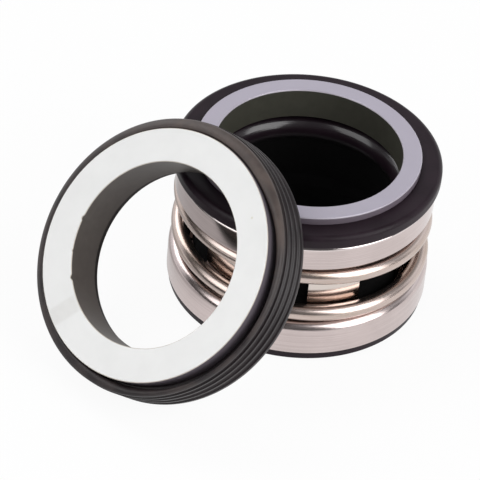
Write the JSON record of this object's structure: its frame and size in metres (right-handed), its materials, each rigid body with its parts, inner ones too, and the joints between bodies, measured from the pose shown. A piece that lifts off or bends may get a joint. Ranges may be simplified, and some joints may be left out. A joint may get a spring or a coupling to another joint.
{
  "type": "mechanical seal",
  "caption": "Rubber bellows shaft seal: a rotary head with face ring, coil spring and drive lugs, and its stationary seat in a ribbed rubber boot.",
  "frame": {"origin": "centre of the shaft bore, in the plane of the head's foot", "axes": "+Z along the head's axis, from the foot to the sealing face; the seat leans on the head from the side between -X and -Y"},
  "size_m": [0.0885, 0.0906, 0.0527],
  "materials": {
    "head_rubber": "moulded, soft sheen",
    "boot_rubber": "moulded, soft sheen",
    "ring_ceramic": "lapped face",
    "seat_ceramic": "lapped face",
    "pressed_steel": "bright pressed sheet",
    "spring_wire": "bright drawn wire"
  },
  "bodies": {
    "drive_assembly": {"bellows": "head_rubber", "coil_spring": "spring_wire", "drive_band": "pressed_steel", "spring_holder": "pressed_steel", "mating_ring": "seat_ceramic", "seat_boot": "boot_rubber"},
    "ring_carrier": {"primary_ring": "ring_ceramic", "retainer": "pressed_steel", "support_disc": "pressed_steel"}
  },
  "joints": [
    {"name": "face_travel", "type": "slide", "parent": "drive_assembly", "child": "ring_carrier", "axis": [0, 0, 1], "range_m": [-0.004, 0], "stiffness_N_per_m": 6500, "springref_m": 0.0005, "deforming": ["coil_spring", "bellows"]}
  ]
}
